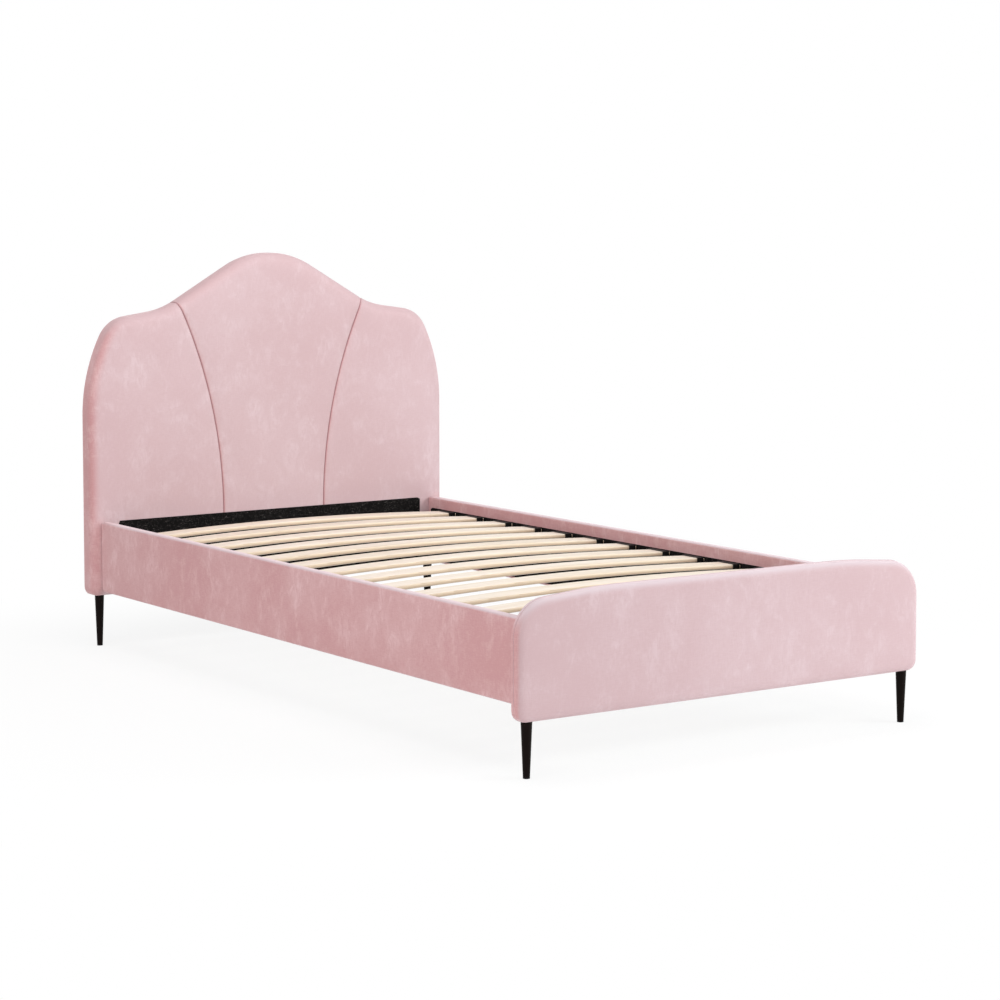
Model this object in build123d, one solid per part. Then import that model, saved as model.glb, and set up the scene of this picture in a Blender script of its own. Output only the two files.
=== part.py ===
from build123d import *
import math
import os

# Upholstered single bed: X is the width, +Y points to the headboard, Z is up, floor at Z = 0.
# All sizes are in millimetres.

# Mattress and the room left around it
mattress_width = 1065.0
mattress_length = 2030.0
side_slack = 3.5
end_slack = 12.5

# Upholstery shared by every padded piece
velvet = 1.5
skin_gap = 0.2
seat_gap = 0.15
lining_side_margin = 31.0

# Side rails
rail_thickness = 24.0
rail_bottom = 157.0
rail_height = 197.0
rail_board_thickness = 15.6
rail_edge_round = 5.0
rail_end_round = 12.0
rail_upper_end_round = 6.0
rail_inner_flap = 32.0
rail_lower_flap = 5.0
rail_window_end = 14.0

# The footboard stands out past the rails, and the headboard a little less
board_overhang = 31.0
headboard_step_in = 3.0

# Headboard outline: the corner points of a polygon and the radius of the arc at each
headboard_bottom = 143.5
headboard_thickness = 58.0
headboard_foot_radius = 24.0
hip_height = 766.0
hip_radius = 500.0
shoulder_inset = 76.5
shoulder_height = 920.0
shoulder_radius = 98.0
valley_share = 0.577
valley_height = 944.5
valley_radius_share = 0.728
apex_height = 1141.0
apex_radius = 266.0
headboard_edge_round = 18.0

# Headboard seams: each is one arc that leaves the lining upright and leans outwards
seam_x = 167.5
seam_radius = 1394.0
seam_width = 1.0

# Headboard inside
headboard_foam_thickness = 12.3
face_panel_thickness = 3.0
face_panel_lift = 2.0
back_cloth_thickness = 1.0
back_cloth_inset = 3.0
headboard_foam_wrap = 8.5
post_width = 80.0
post_height = 490.0
frame_rail_width = 70.0
lower_rail_rise = 22.0
rib_width = 70.0
frame_joint_gap = 0.1

# Footboard outline
footboard_bottom = 127.0
footboard_height = 284.5
footboard_thickness = 34.0
footboard_foot_radius = 26.0
footboard_corner_drop = 19.0
footboard_corner_radius = 88.0
footboard_bevel_inset = 226.0
footboard_bevel_radius = 1500.0
footboard_front_round = 14.0
footboard_back_round = 5.0
footboard_foam_thickness = 9.0
footboard_foam_wrap = 3.3
footboard_core_round = 4.0
bead_diameter = 3.0
bead_from_back = 12.0

# Slats, bowed upwards, and their holders
slat_count = 13
slat_width = 63.0
slat_thickness = 12.0
slat_crown = 15.0
slat_edge_round = 4.5
slat_end_gap = 2.0
head_slat_gap = 90.5
foot_slat_gap = 131.5
holder_length = 20.0
holder_wall = 1.6
holder_from_slat_end = 5.0
holder_fit = 0.3
holder_side_wall = 3.0
peg_diameter = 8.0
peg_length = 12.0
peg_spacing = 36.0
peg_fit = 0.1

# Ledgers
ledger_width = 30.0
ledger_height = 40.0
ledger_drop = 47.5
ledger_end_gap = 2.0
ledger_screw_count = 7
ledger_screw_diameter = 4.0
ledger_screw_length = 38.0
ledger_screw_head = 8.0
ledger_screw_head_depth = 2.5
ledger_screw_height = 13.5
ledger_screw_end = 120.0
screw_fit = 0.1

# Corner brackets, bolts and threaded inserts
bracket_leg = 45.0
bracket_height = 84.0
bracket_plate = 3.0
bracket_rise = 10.0
bracket_hole_from_corner = 21.0
bracket_hole_spacing = 44.0
bolt_diameter = 8.0
bolt_fit = 0.2
bolt_head_diameter = 14.0
bolt_head_height = 4.5
bolt_head_round = 2.2
bolt_socket = 5.0
bolt_socket_depth = 2.5
rail_bolt_grip = 12.0
board_bolt_grip = 11.0
insert_diameter = 12.0
insert_length = 13.0
insert_fit = 0.1

# Legs
leg_top_diameter = 26.0
leg_foot_diameter = 16.0
leg_wall = 2.0
leg_top_plate = 4.0
leg_inset = 36.0
front_leg_shift = 1.5
rear_leg_shift = -6.0
stud_diameter = 8.0
stud_length = 30.0
stud_fit = 0.05
stud_hole_fit = 0.4
stud_tip_room = 3.0
leg_insert_length = 22.0
glide_height = 3.0
glide_edge_round = 0.8
glide_plug_height = 8.0
glide_fit = 0.1

# Places worked out from the sizes above, and how far the cutting shapes reach
inner_half = mattress_width / 2 + side_slack
inner_length = mattress_length + 2 * end_slack
rail_outer = inner_half + rail_thickness
board_half = rail_outer + board_overhang
headboard_half = board_half - headboard_step_in
half_length = (inner_length + footboard_thickness + headboard_thickness) / 2
head_front = half_length - headboard_thickness
head_back = half_length
foot_front = -half_length
foot_back = foot_front + footboard_thickness
rail_top = rail_bottom + rail_height
lining_half = inner_half - lining_side_margin
valley_x = valley_share * headboard_half
valley_radius = valley_radius_share * valley_x
slat_pitch = (inner_length - head_slat_gap - foot_slat_gap - slat_width) / (slat_count - 1)
footboard_top = footboard_bottom + footboard_height
ledger_top = rail_top - ledger_drop
ledger_bottom = ledger_top - ledger_height
ledger_inner = inner_half - ledger_width
far = 3000.0
past_face = 30.0
least_arc = 0.5


def offset_corners(corners, inset, bottom_inset):
    """Move every side of a counter-clockwise polygon inwards, the lowest side by its own amount."""
    lines = []
    lowest = min(z for _, z in corners)
    for (x0, z0), (x1, z1) in zip(corners, corners[1:] + corners[:1]):
        length = math.hypot(x1 - x0, z1 - z0)
        ux, uz = (x1 - x0) / length, (z1 - z0) / length
        amount = bottom_inset if z0 == lowest and z1 == lowest else inset
        lines.append((x0 - uz * amount, z0 + ux * amount, ux, uz))
    moved = []
    for (ax, az, aux, auz), (bx, bz, bux, buz) in zip(lines[-1:] + lines[:-1], lines):
        along = ((bx - ax) * buz - (bz - az) * bux) / (aux * buz - auz * bux)
        moved.append((ax + along * aux, az + along * auz))
    return moved


def turns_left(before, here, after):
    """True where a counter-clockwise outline bulges outwards at a corner."""
    (x0, z0), (x1, z1), (x2, z2) = before, here, after
    return (x1 - x0) * (z2 - z1) > (z1 - z0) * (x2 - x1)


def board_face(half_corners, half_radii, inset=0.0, bottom_inset=None):
    """Symmetric outline in the XZ plane: straight sides with an arc at each corner."""
    if bottom_inset is None:
        bottom_inset = inset
    mirrored = [(-x, z) for x, z in reversed(half_corners) if x > 0]
    corners = half_corners + mirrored
    on_axis = half_corners[-1][0] == 0
    radii = half_radii + half_radii[::-1][1 if on_axis else 0:]
    moved = offset_corners(corners, inset, bottom_inset)
    arcs = []
    for i, radius in enumerate(radii):
        bulges = turns_left(corners[i - 1], corners[i], corners[(i + 1) % len(corners)])
        arcs.append(max(radius - inset, least_arc) if bulges else radius + inset)
    return make_face(Plane.XZ * FilletPolyline(*moved, radius=arcs, close=True))


def headboard_face(inset=0.0, bottom_inset=None):
    corners = [
        (headboard_half, headboard_bottom),
        (headboard_half, hip_height),
        (headboard_half - shoulder_inset, shoulder_height),
        (valley_x, valley_height),
        (0.0, apex_height),
    ]
    radii = [headboard_foot_radius, hip_radius, shoulder_radius, valley_radius, apex_radius]
    return board_face(corners, radii, inset, bottom_inset)


def footboard_face(inset=0.0, bottom_inset=None):
    corners = [
        (board_half, footboard_bottom),
        (board_half, footboard_top - footboard_corner_drop),
        (board_half - footboard_bevel_inset, footboard_top),
    ]
    radii = [footboard_foot_radius, footboard_corner_radius, footboard_bevel_radius]
    return board_face(corners, radii, inset, bottom_inset)


def slab(face, y0, y1):
    """Extrude an XZ outline from one Y to another."""
    return extrude(Pos(0, y0, 0) * face, amount=y1 - y0, dir=(0, 1, 0))


def block(x0, x1, y0, y1, z0, z1):
    size = Box(x1 - x0, y1 - y0, z1 - z0)
    return Pos((x0 + x1) / 2, (y0 + y1) / 2, (z0 + z1) / 2) * size


def mirrored_block(x0, x1, y0, y1, z0, z1, side):
    """A block given on the right side, placed on the side asked for (1 right, -1 left)."""
    left, right = sorted((side * x0, side * x1))
    return block(left, right, y0, y1, z0, z1)


def rod_x(radius, x0, x1, y, z):
    rod = Cylinder(radius, abs(x1 - x0), rotation=(0, 90, 0))
    return Pos((x0 + x1) / 2, y, z) * rod


def rod_y(radius, x, y0, y1, z):
    rod = Cylinder(radius, abs(y1 - y0), rotation=(90, 0, 0))
    return Pos(x, (y0 + y1) / 2, z) * rod


def rod_z(radius, x, y, z0, z1):
    return Pos(x, y, (z0 + z1) / 2) * Cylinder(radius, z1 - z0)


def rounded_slab(face, y0, y1, front_round=0.0, back_round=0.0):
    """A slab whose edges at the low-Y and high-Y faces are rounded."""
    body = slab(face, y0, y1)
    if front_round > 0:
        body = fillet(body.faces().sort_by(Axis.Y)[0].outer_wire().edges(), front_round)
    if back_round > 0:
        body = fillet(body.faces().sort_by(Axis.Y)[-1].outer_wire().edges(), back_round)
    return body


nodes = {}

# Bolt places: every corner has two bolts in the rail and two in the board
bracket_bottom = rail_bottom + bracket_rise
bracket_top = bracket_bottom + bracket_height
bracket_middle = (bracket_bottom + bracket_top) / 2
bolt_heights = [bracket_middle - bracket_hole_spacing / 2, bracket_middle + bracket_hole_spacing / 2]
board_bolt_x = inner_half - bracket_hole_from_corner
rail_bolt_head_y = head_front - bracket_hole_from_corner
rail_bolt_foot_y = foot_back + bracket_hole_from_corner
insert_hole = insert_diameter / 2 + insert_fit
bolt_hole = bolt_diameter / 2 + bolt_fit

# Layers of the headboard, from the front face to the back
head_foam_front = head_front + velvet + skin_gap
face_panel_front = head_foam_front + headboard_foam_thickness
frame_front = face_panel_front + face_panel_thickness
frame_back = head_back - back_cloth_thickness
skin = velvet + skin_gap
head_core_inset = skin + headboard_foam_wrap

# Layers of the footboard
foot_foam_front = foot_front + skin
foot_core_front = foot_foam_front + footboard_foam_thickness
foot_core_back = foot_back - skin
foot_core_inset = skin + footboard_foam_wrap

# Leg places
front_leg_x = board_half - leg_inset
rear_leg_x = headboard_half - leg_inset
front_leg_y = (foot_core_front + foot_core_back) / 2 + front_leg_shift
rear_leg_y = (frame_front + frame_back) / 2 + rear_leg_shift
leg_places = {
    "front_left": (-front_leg_x, front_leg_y, footboard_bottom),
    "front_right": (front_leg_x, front_leg_y, footboard_bottom),
    "rear_left": (-rear_leg_x, rear_leg_y, headboard_bottom),
    "rear_right": (rear_leg_x, rear_leg_y, headboard_bottom),
}


def board_bolt_holes(radius, y0, y1):
    """Holes along Y for the bolts that hold the brackets to a board."""
    return [rod_y(radius, side * board_bolt_x, y0, y1, z) for side in (-1, 1) for z in bolt_heights]


def stud_holes(radius, z0, z1, which):
    """Upright holes for the leg studs of one board."""
    return [rod_z(radius, x, y, z0, z1) for name, (x, y, _) in leg_places.items() if which in name]


# Headboard cover, as one skin over the front, the edges and the bottom, then cut into its panels
head_outer = rounded_slab(headboard_face(), head_front, frame_back, headboard_edge_round)
head_void = rounded_slab(
    headboard_face(velvet), head_front + velvet, head_back + past_face, headboard_edge_round - velvet
)
head_skin = head_outer - head_void
head_skin -= board_bolt_holes(bolt_hole, head_front - velvet, head_foam_front)
head_skin -= stud_holes(
    stud_diameter / 2 + stud_hole_fit, headboard_bottom - velvet, headboard_bottom + skin, "rear"
)


def lining_block(grow):
    """The space of the low black lining between the rails, on either board."""
    half = lining_half + grow
    return block(-half, half, -far, far, 0.0, rail_top + grow)


def seam_disc(side, radius):
    """A wide disc whose rim is the seam on one side of the headboard."""
    return rod_y(radius, side * (seam_x + seam_radius), head_front - velvet, far, rail_top)


nodes["headboard_lining"] = head_skin & lining_block(0.0)
velvet_skin = head_skin - lining_block(skin_gap)
half_seam = seam_width / 2
nodes["headboard_cover_left"] = velvet_skin & seam_disc(-1, seam_radius - half_seam)
nodes["headboard_cover_right"] = velvet_skin & seam_disc(1, seam_radius - half_seam)
side_discs = [seam_disc(side, seam_radius + half_seam) for side in (-1, 1)]
nodes["headboard_cover_centre"] = velvet_skin - side_discs

# Headboard foam: a cap over the face panel that also wraps the edges of the frame
head_core_face = headboard_face(head_core_inset, skin)
foam_block = rounded_slab(headboard_face(skin), head_foam_front, frame_back, headboard_edge_round - skin)
foam = foam_block - slab(headboard_face(head_core_inset - skin_gap, 0.0), face_panel_front, head_back)
foam -= board_bolt_holes(bolt_hole, head_foam_front - skin, face_panel_front)
nodes["headboard_foam"] = foam

# Headboard face panel
face_panel_face = headboard_face(head_core_inset, skin + face_panel_lift)
face_panel = slab(face_panel_face, face_panel_front, frame_front)
nodes["headboard_face_panel"] = face_panel - board_bolt_holes(bolt_hole, face_panel_front, frame_front)

# Headboard frame: posts, cross rails and the curved ribs under the crown
frame_plate = slab(head_core_face, frame_front, frame_back)
post_outer = headboard_half - head_core_inset
post_inner = post_outer - post_width
post_bottom = headboard_bottom + skin
post_top = post_bottom + post_height
stud_top_rear = headboard_bottom + stud_length + stud_tip_room
stud_top_front = footboard_bottom + stud_length + stud_tip_room
head_insert_back = frame_front + insert_length
rear_insert_top = post_bottom + leg_insert_length
post_cuts = (
    board_bolt_holes(insert_hole, frame_front, head_insert_back + insert_fit)
    + stud_holes(insert_hole, post_bottom, rear_insert_top + insert_fit, "rear")
    + stud_holes(stud_diameter / 2 + stud_hole_fit, post_bottom, stud_top_rear, "rear")
)
for name, side in (("left", -1), ("right", 1)):
    column = mirrored_block(post_inner, far, frame_front, frame_back, post_bottom, post_top, side)
    nodes[f"headboard_post_{name}"] = (frame_plate & column) - post_cuts
cross_rails = {"lower": post_bottom + lower_rail_rise, "middle": post_top - frame_rail_width}
for name, bottom in cross_rails.items():
    reach = post_inner - frame_joint_gap
    nodes[f"headboard_{name}_rail"] = block(
        -reach, reach, frame_front, frame_back, bottom, bottom + frame_rail_width
    )
rib_plate = frame_plate - slab(headboard_face(head_core_inset + rib_width), frame_front, head_back)
for name, side in (("left", -1), ("right", 1)):
    rib_bottom = post_top + frame_joint_gap
    quarter = mirrored_block(frame_joint_gap / 2, far, frame_front, frame_back, rib_bottom, far, side)
    nodes[f"headboard_rib_{name}"] = rib_plate & quarter

# Headboard dust cloth
nodes["headboard_back_cloth"] = slab(headboard_face(back_cloth_inset), frame_back, head_back)

# Footboard: the front cover and the inside cover meet at a sewn bead
bead_y = foot_back - bead_from_back
bead_half = bead_diameter / 2
foot_outer = rounded_slab(
    footboard_face(), foot_front, foot_back, footboard_front_round, footboard_back_round
)
foot_void = rounded_slab(
    footboard_face(velvet), foot_front + velvet, foot_back - velvet,
    footboard_front_round - velvet, footboard_back_round - velvet,
)
foot_skin = foot_outer - foot_void
foot_skin -= board_bolt_holes(bolt_hole, foot_core_back, foot_back + velvet)
foot_skin -= stud_holes(
    stud_diameter / 2 + stud_hole_fit, footboard_bottom - velvet, footboard_bottom + skin, "front"
)
bead_end_z = footboard_bottom + footboard_foot_radius
bead_reach = bead_half + skin_gap
bead_room = block(-far, far, bead_y - bead_reach, bead_y + bead_reach, bead_end_z - skin_gap, far)
plain_seam = block(-far, far, bead_y - skin_gap / 2, bead_y + skin_gap / 2, -far, bead_end_z)
foot_panels = (foot_skin - bead_room - plain_seam).solids().sort_by(Axis.Y)
nodes["footboard_front_cover"] = foot_panels[0]
inside_skin = foot_panels[-1]
nodes["footboard_lining"] = inside_skin & lining_block(0.0)
nodes["footboard_inside_cover"] = inside_skin - lining_block(skin_gap)
bead_corners = [
    (board_half, bead_y, bead_end_z),
    (board_half, bead_y, footboard_top - footboard_corner_drop),
    (board_half - footboard_bevel_inset, bead_y, footboard_top),
]
bead_corners += [(-x, y, z) for x, y, z in reversed(bead_corners)]
bead_radii = [footboard_corner_radius, footboard_bevel_radius]
bead_path = FilletPolyline(*bead_corners, radius=bead_radii + bead_radii[::-1])
nodes["footboard_bead"] = sweep(Plane(bead_path ^ 0) * Circle(bead_half), path=bead_path)

# Footboard foam and core
foot_core_face = footboard_face(foot_core_inset, skin)
foot_foam_block = rounded_slab(
    footboard_face(skin), foot_foam_front, foot_core_back, footboard_front_round - skin
)
foot_core_room = footboard_face(foot_core_inset - skin_gap, 0.0)
foot_foam = foot_foam_block - slab(foot_core_room, foot_core_front, foot_back)
foam_back_limit = block(-far, far, -far, foot_back - footboard_back_round, -far, far)
nodes["footboard_foam"] = foot_foam & foam_back_limit
foot_core = rounded_slab(
    foot_core_face, foot_core_front, foot_core_back, footboard_core_round, footboard_core_round
)
foot_insert_front = foot_core_back - insert_length
foot_core_bottom = footboard_bottom + skin
front_insert_top = foot_core_bottom + leg_insert_length
foot_core -= board_bolt_holes(insert_hole, foot_insert_front - insert_fit, foot_core_back)
foot_core -= stud_holes(insert_hole, foot_core_bottom, front_insert_top + insert_fit, "front")
foot_core -= stud_holes(stud_diameter / 2 + stud_hole_fit, foot_core_bottom, stud_top_front, "front")
nodes["footboard_core"] = foot_core

# Side rails: a board, foam on the outside, a velvet wrap and a lining on the inside
rail_board_inner = inner_half + skin
rail_board_outer = rail_board_inner + rail_board_thickness
rail_foam_outer = rail_outer - skin
rail_y0 = foot_back + seat_gap
rail_y1 = head_front - seat_gap
window_bottom = rail_bottom + rail_lower_flap
window_top = rail_top - rail_inner_flap
screw_height = ledger_bottom + ledger_screw_height
screw_span = rail_y1 - rail_y0 - 2 * ledger_screw_end
screw_step = screw_span / (ledger_screw_count - 1)
screw_places = [rail_y0 + ledger_screw_end + i * screw_step for i in range(ledger_screw_count)]
screw_hole = ledger_screw_diameter / 2 + screw_fit
rail_bolts = [(y, z) for y in (rail_bolt_foot_y, rail_bolt_head_y) for z in bolt_heights]


def rail_block(inset, x0, x1, edge_round):
    """A long block seen from the side as the rail, with rounded lower ends and rounded long edges."""
    y0, y1 = rail_y0 + inset, rail_y1 - inset
    z0, z1 = rail_bottom + inset, rail_top - inset
    low, high = rail_end_round - inset, rail_upper_end_round - inset
    ends = [(y0, z0), (y1, z0), (y1, z1), (y0, z1)]
    outline = FilletPolyline(*ends, radius=[low, low, high, high], close=True)
    body = extrude(Pos(x0, 0, 0) * make_face(Plane.YZ * outline), amount=x1 - x0, dir=(1, 0, 0))
    rims = [body.faces().sort_by(Axis.X)[i].outer_wire().edges() for i in (0, -1)]
    return fillet(rims[0] + rims[1], edge_round)


def right_rail():
    """The pieces of the right rail, which the left one mirrors."""
    wrap = rail_block(0.0, inner_half, rail_outer, rail_edge_round)
    wrap -= rail_block(velvet, inner_half + velvet, rail_outer - velvet, rail_edge_round - velvet)
    bolt_cuts = [rod_x(bolt_hole, inner_half - velvet, rail_board_inner, y, z) for y, z in rail_bolts]
    screw_cuts = [
        rod_x(screw_hole, inner_half - velvet, rail_board_inner, y, screw_height) for y in screw_places
    ]
    window_ends = (rail_y0 + rail_window_end, rail_y1 - rail_window_end)
    wrap -= block(inner_half - velvet, rail_board_inner, *window_ends, window_bottom, window_top)
    cloth = block(
        inner_half, inner_half + velvet,
        window_ends[0] + skin_gap, window_ends[1] - skin_gap,
        window_bottom + skin_gap, window_top - skin_gap,
    )
    core = rail_block(skin, rail_board_inner, rail_foam_outer, rail_edge_round - skin)
    board = core & block(0, rail_board_outer, -far, far, 0, far)
    tip_x = ledger_inner + ledger_screw_length
    insert_end = rail_board_inner + insert_length + insert_fit
    board -= [rod_x(insert_hole, rail_board_inner, insert_end, y, z) for y, z in rail_bolts]
    board -= [rod_x(screw_hole, rail_board_inner, tip_x + screw_fit, y, screw_height) for y in screw_places]
    foam = core & block(rail_board_outer, far, -far, far, 0, far)
    return {
        "side_rail_cover": wrap,
        "side_rail_lining": cloth - bolt_cuts - screw_cuts,
        "side_rail_board": board,
        "side_rail_foam": foam,
    }


for name, shape in right_rail().items():
    nodes[f"{name}_right"] = shape
    nodes[f"{name}_left"] = mirror(shape, about=Plane.YZ)

# Slats: one arc in the XZ plane, with rounded long edges
slat_half = inner_half - slat_end_gap
holder_outer = slat_half - holder_from_slat_end
holder_inner = holder_outer - holder_length
holder_middle = (holder_inner + holder_outer) / 2
slat_radius = (slat_half**2 + slat_crown**2) / (2 * slat_crown)
holder_drop = slat_radius - math.sqrt(slat_radius**2 - holder_middle**2)
slat_under = ledger_top + holder_wall + holder_drop
slat_places = [head_front - head_slat_gap - slat_width / 2 - i * slat_pitch for i in range(slat_count)]


def bowed_strip(half, low, high, width, lower_edge):
    """A strip along X that follows the slat's arc, between two heights above its underside."""
    centre_z = lower_edge - slat_radius
    inner, outer = slat_radius + low, slat_radius + high
    at = [(x, centre_z + math.sqrt(r**2 - x**2)) for r, x in ((inner, half), (outer, half))]
    under = ThreePointArc((-half, at[0][1]), (0, centre_z + inner), (half, at[0][1]))
    over = ThreePointArc((half, at[1][1]), (0, centre_z + outer), (-half, at[1][1]))
    ends = [Line((half, at[0][1]), (half, at[1][1])), Line((-half, at[1][1]), (-half, at[0][1]))]
    outline = Plane.XZ * make_face(under + ends[0] + over + ends[1])
    return slab(outline, -width / 2, width / 2)


slat = bowed_strip(slat_half, 0.0, slat_thickness, slat_width, slat_under)
slat = fillet(slat.edges().filter_by(GeomType.CIRCLE), slat_edge_round)
for i, y in enumerate(slat_places):
    nodes[f"slat_{i + 1:02d}"] = Pos(0, y, 0) * slat

# Slat holders: a sleeve round the slat end, with two pegs that plug into the ledger
holder_height = slat_thickness + 2 * holder_wall
holder_slot_width = slat_width + 2 * holder_fit
holder_width = holder_slot_width + 2 * holder_side_wall
holder_slot = bowed_strip(
    inner_half, -holder_fit, slat_thickness + holder_fit, holder_slot_width, slat_under
)
peg_rows = (-peg_spacing / 2, peg_spacing / 2)


def holder(side, y):
    half = holder_width / 2
    top = ledger_top + holder_height
    sleeve = mirrored_block(holder_inner, holder_outer, y - half, y + half, ledger_top, top, side)
    sleeve -= Pos(0, y, 0) * holder_slot
    for row in peg_rows:
        peg_bottom = ledger_top - peg_length
        sleeve += rod_z(peg_diameter / 2, side * holder_middle, y + row, peg_bottom, ledger_top)
    return sleeve


def ledger(side):
    y0, y1 = rail_y0 + ledger_end_gap, rail_y1 - ledger_end_gap
    bar = mirrored_block(ledger_inner, inner_half, y0, y1, ledger_bottom, ledger_top, side)
    peg_hole = peg_diameter / 2 + peg_fit
    for y in slat_places:
        bar -= [
            rod_z(peg_hole, side * holder_middle, y + row, ledger_top - peg_length - peg_fit, ledger_top)
            for row in peg_rows
        ]
    for y in screw_places:
        bar -= ledger_screw(side, y, screw_fit)
    return bar


def ledger_screw(side, y, grow):
    """A countersunk wood screw along X; grow widens it into its own hole."""
    head_x = side * ledger_inner
    tip_x = side * (ledger_inner + ledger_screw_length + grow)
    radius = ledger_screw_diameter / 2 + grow
    shank = rod_x(radius, head_x, tip_x, y, screw_height)
    taper = Cone(ledger_screw_head / 2 + grow, radius, ledger_screw_head_depth, rotation=(0, 90 * side, 0))
    return shank + Pos(head_x + side * ledger_screw_head_depth / 2, y, screw_height) * taper


for name, side in (("left", -1), ("right", 1)):
    nodes[f"slat_holders_{name}"] = Compound(children=[holder(side, y) for y in slat_places])
    nodes[f"slat_ledger_{name}"] = ledger(side)
nodes["ledger_screws"] = Compound(children=[ledger_screw(s, y, 0.0) for s in (-1, 1) for y in screw_places])

# Corner brackets: a steel angle in each inside corner
corners = [(side, end) for end in (-1, 1) for side in (-1, 1)]


def end_face(end):
    return head_front if end > 0 else foot_back


def bracket(side, end):
    face_y = end_face(end)
    y_near, y_far = sorted((face_y, face_y - end * bracket_leg))
    p_near, p_far = sorted((face_y, face_y - end * bracket_plate))
    plate = inner_half - bracket_plate
    angle = mirrored_block(plate, inner_half, y_near, y_far, bracket_bottom, bracket_top, side)
    angle += mirrored_block(
        inner_half - bracket_leg, inner_half, p_near, p_far, bracket_bottom, bracket_top, side
    )
    bolt_y = face_y - end * bracket_hole_from_corner
    for z in bolt_heights:
        angle -= rod_x(bolt_hole, side * (plate - velvet), side * inner_half, bolt_y, z)
        angle -= rod_y(bolt_hole, side * board_bolt_x, p_near - velvet, p_far + velvet, z)
    return angle


nodes["corner_brackets"] = Compound(children=[bracket(side, end) for side, end in corners])


def bolt(reach):
    """A socket button bolt along +Z, its head seated at Z = 0 and its shank reaching below."""
    head = Pos(0, 0, bolt_head_height / 2) * Cylinder(bolt_head_diameter / 2, bolt_head_height)
    head = fillet(head.faces().sort_by(Axis.Z)[-1].edges(), bolt_head_round)
    hexagon = RegularPolygon(bolt_socket / 2, 6, major_radius=False)
    socket = extrude(Pos(0, 0, bolt_head_height - bolt_socket_depth) * hexagon, bolt_head_height)
    shank = Pos(0, 0, -reach / 2) * Cylinder(bolt_diameter / 2, reach)
    return head - socket + shank


def insert_nut(length, radius):
    """A threaded insert as a sleeve along Z from 0 to its length."""
    sleeve = Cylinder(insert_diameter / 2, length) - Cylinder(radius, length)
    return Pos(0, 0, length / 2) * sleeve


rail_bolt_reach = bracket_plate + skin + rail_bolt_grip
head_bolt_reach = bracket_plate + (frame_front - head_front) + board_bolt_grip
foot_bolt_reach = bracket_plate + skin + board_bolt_grip
rail_bolt_set = []
head_bolt_set = []
foot_bolt_set = []
insert_set = []
for side, end in corners:
    face_y = end_face(end)
    away_x = Plane(origin=(0, 0, 0), x_dir=(0, 1, 0), z_dir=(-side, 0, 0))
    away_y = Plane(origin=(0, 0, 0), x_dir=(1, 0, 0), z_dir=(0, -end, 0))
    bolt_y = face_y - end * bracket_hole_from_corner
    insert_face = frame_front if end > 0 else foot_core_back
    reach, group = (head_bolt_reach, head_bolt_set) if end > 0 else (foot_bolt_reach, foot_bolt_set)
    for z in bolt_heights:
        rail_seat = Pos(side * (inner_half - bracket_plate), bolt_y, z)
        board_seat = Pos(side * board_bolt_x, face_y - end * bracket_plate, z)
        rail_bolt_set.append(rail_seat * (away_x * bolt(rail_bolt_reach)))
        group.append(board_seat * (away_y * bolt(reach)))
        into_rail = Plane(origin=(side * rail_board_inner, bolt_y, z), x_dir=(0, 1, 0), z_dir=(side, 0, 0))
        into_board = Plane(origin=(side * board_bolt_x, insert_face, z), x_dir=(1, 0, 0), z_dir=(0, end, 0))
        insert_set.append(into_rail * insert_nut(insert_length, bolt_diameter / 2 + insert_fit))
        insert_set.append(into_board * insert_nut(insert_length, bolt_diameter / 2 + insert_fit))
nodes["rail_bolts"] = Compound(children=rail_bolt_set)
nodes["headboard_bolts"] = Compound(children=head_bolt_set)
nodes["footboard_bolts"] = Compound(children=foot_bolt_set)
nodes["bracket_inserts"] = Compound(children=insert_set)

# Legs: a tapered tube with a top plate and a welded stud, and a glide plugged into the foot
leg_insert = insert_nut(leg_insert_length, stud_diameter / 2 + stud_fit)
nodes["leg_inserts"] = Compound(
    children=[Pos(x, y, bottom + skin) * leg_insert for x, y, bottom in leg_places.values()]
)


def leg(height):
    tube_height = height - seat_gap - glide_height
    foot, top = leg_foot_diameter / 2, leg_top_diameter / 2
    middle = glide_height + tube_height / 2
    hollow_height = tube_height - leg_top_plate
    slope = (top - foot) / tube_height
    hollow_top = foot + slope * hollow_height - leg_wall
    tube = Pos(0, 0, middle) * Cone(foot, top, tube_height)
    tube -= Pos(0, 0, glide_height + hollow_height / 2) * Cone(foot - leg_wall, hollow_top, hollow_height)
    return tube + rod_z(stud_diameter / 2, 0, 0, height - seat_gap, height + stud_length)


def glide():
    foot = leg_foot_diameter / 2
    pad = fillet(rod_z(foot, 0, 0, 0, glide_height).edges().sort_by(Axis.Z)[0], glide_edge_round)
    return pad + rod_z(foot - leg_wall - glide_fit, 0, 0, glide_height, glide_height + glide_plug_height)


for name, (x, y, height) in leg_places.items():
    nodes[f"leg_{name}"] = Pos(x, y, 0) * leg(height)
    nodes[f"glide_{name}"] = Pos(x, y, 0) * glide()

os.makedirs("parts", exist_ok=True)
for name, shape in nodes.items():
    export_step(shape, f"parts/{name}.step")
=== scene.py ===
"""Looks of an upholstered single bed: velvet boards and rails, sprung slats and tapered legs, in metres."""

import math

import bpy
import numpy as np
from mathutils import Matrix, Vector, noise
from mathutils.geometry import delaunay_2d_cdt


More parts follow.
